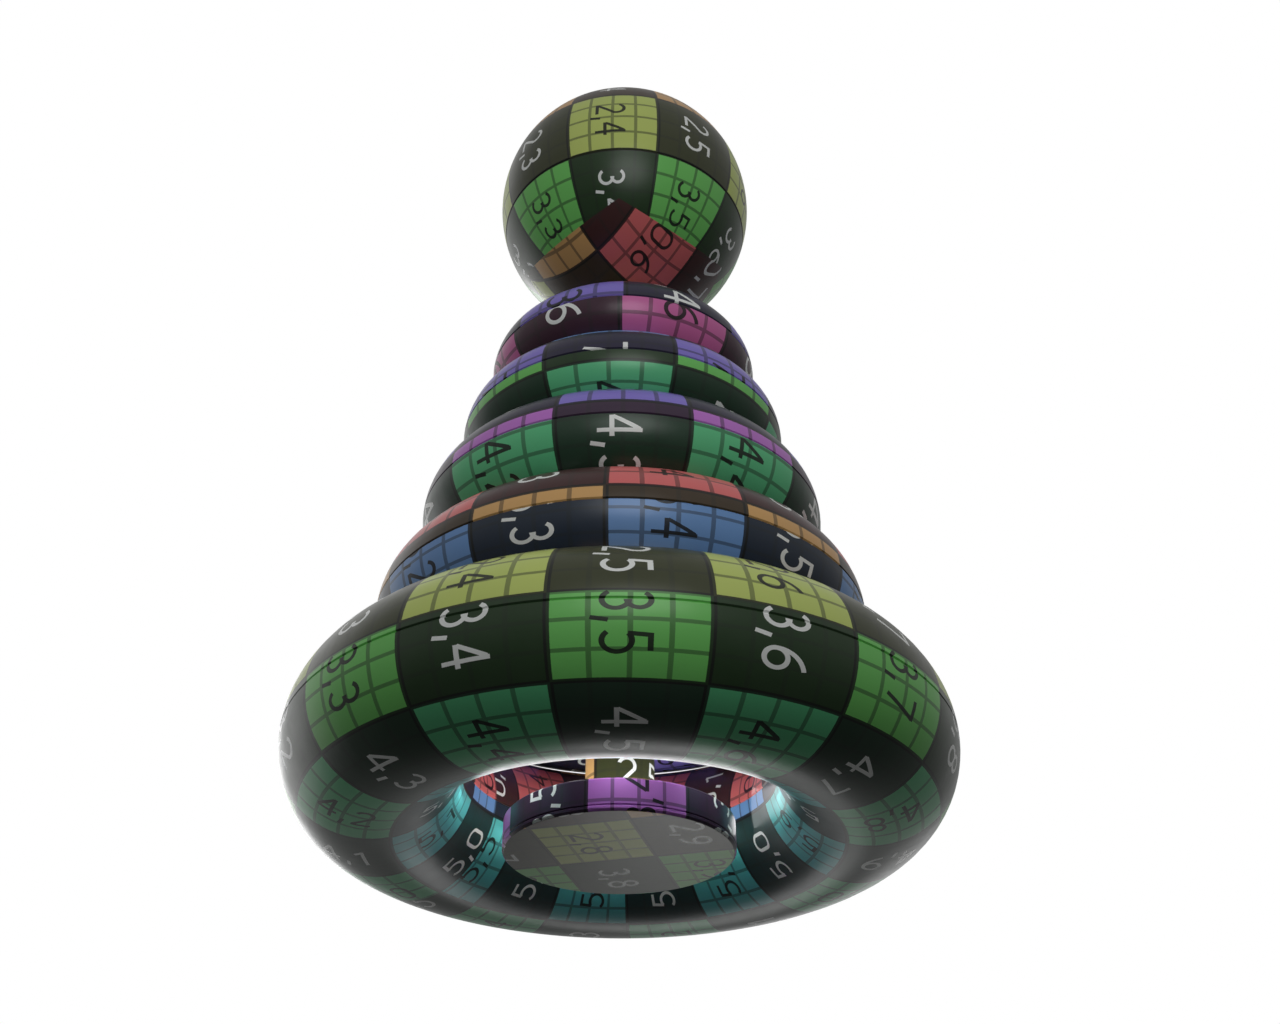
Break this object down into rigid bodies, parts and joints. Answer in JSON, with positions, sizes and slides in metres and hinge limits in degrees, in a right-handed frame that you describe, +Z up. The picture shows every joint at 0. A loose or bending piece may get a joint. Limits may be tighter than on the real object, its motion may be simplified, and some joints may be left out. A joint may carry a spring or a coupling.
{
  "type": "stacking ring tower puzzle",
  "caption": "Post on a round base carrying nested hollow rings of falling size and a pull-off ball top, all lifted off one at a time.",
  "frame": {"origin": "centre of the underside of the base, on the surface that the tower stands on", "axes": "+Z up along the post; the tower is round about Z, so X and Y are free, and -Y is called the front"},
  "size_m": [0.1226, 0.1226, 0.1896],
  "materials": {
    "base_disc_print": "purple tiled print under a clear gloss",
    "base_cover_print": "square tiled print under a clear gloss",
    "post_print": "olive and cream tiled print under a clear gloss",
    "grip_rubber": "soft black rubber",
    "zinc_steel": "zinc plated",
    "insert_brass": "turned brass",
    "ring_5_lower_print": "green to teal tiled print under a clear gloss",
    "ring_5_upper_print": "yellow to red tiled print under a clear gloss",
    "ring_4_lower_print": "blue tiled print under a clear gloss",
    "ring_4_upper_print": "red and orange tiled print under a clear gloss",
    "ring_3_lower_print": "teal green tiled print under a clear gloss",
    "ring_3_upper_print": "indigo and purple tiled print under a clear gloss",
    "ring_2_lower_print": "green tiled print under a clear gloss",
    "ring_2_upper_print": "indigo tiled print under a clear gloss",
    "ring_1_lower_print": "magenta tiled print under a clear gloss",
    "ring_1_upper_print": "indigo tiled print under a clear gloss",
    "ball_cap_print": "green, red and brown tiled print under a clear gloss",
    "ball_shell_print": "orange and yellow tiled print under a clear gloss"
  },
  "bodies": {
    "base": {"base_disc": "base_disc_print", "base_cover": "base_cover_print", "post": "post_print", "post_tip": "post_print", "grip_ring": "grip_rubber", "post_insert": "insert_brass", "post_washer": "zinc_steel", "post_screw": "zinc_steel"},
    "ring_5": {"ring_5_lower_shell": "ring_5_lower_print", "ring_5_upper_shell": "ring_5_upper_print"},
    "ring_4": {"ring_4_lower_shell": "ring_4_lower_print", "ring_4_upper_shell": "ring_4_upper_print"},
    "ring_3": {"ring_3_lower_shell": "ring_3_lower_print", "ring_3_upper_shell": "ring_3_upper_print"},
    "ring_2": {"ring_2_lower_shell": "ring_2_lower_print", "ring_2_upper_shell": "ring_2_upper_print"},
    "ring_1": {"ring_1_lower_shell": "ring_1_lower_print", "ring_1_upper_shell": "ring_1_upper_print"},
    "ball": {"ball_cap": "ball_cap_print", "ball_shell": "ball_shell_print"}
  },
  "joints": [
    {"name": "ring_5_lift", "type": "slide", "parent": "base", "child": "ring_5", "axis": [0, 0, 1], "range_m": [0, 0.155]},
    {"name": "ring_4_lift", "type": "slide", "parent": "ring_5", "child": "ring_4", "axis": [0, 0, 1], "range_m": [0, 0.125]},
    {"name": "ring_3_lift", "type": "slide", "parent": "ring_4", "child": "ring_3", "axis": [0, 0, 1], "range_m": [0, 0.1]},
    {"name": "ring_2_lift", "type": "slide", "parent": "ring_3", "child": "ring_2", "axis": [0, 0, 1], "range_m": [0, 0.078]},
    {"name": "ring_1_lift", "type": "slide", "parent": "ring_2", "child": "ring_1", "axis": [0, 0, 1], "range_m": [0, 0.058]},
    {"name": "ball_lift", "type": "slide", "parent": "ring_1", "child": "ball", "axis": [0, 0, 1], "range_m": [0, 0.03]}
  ]
}
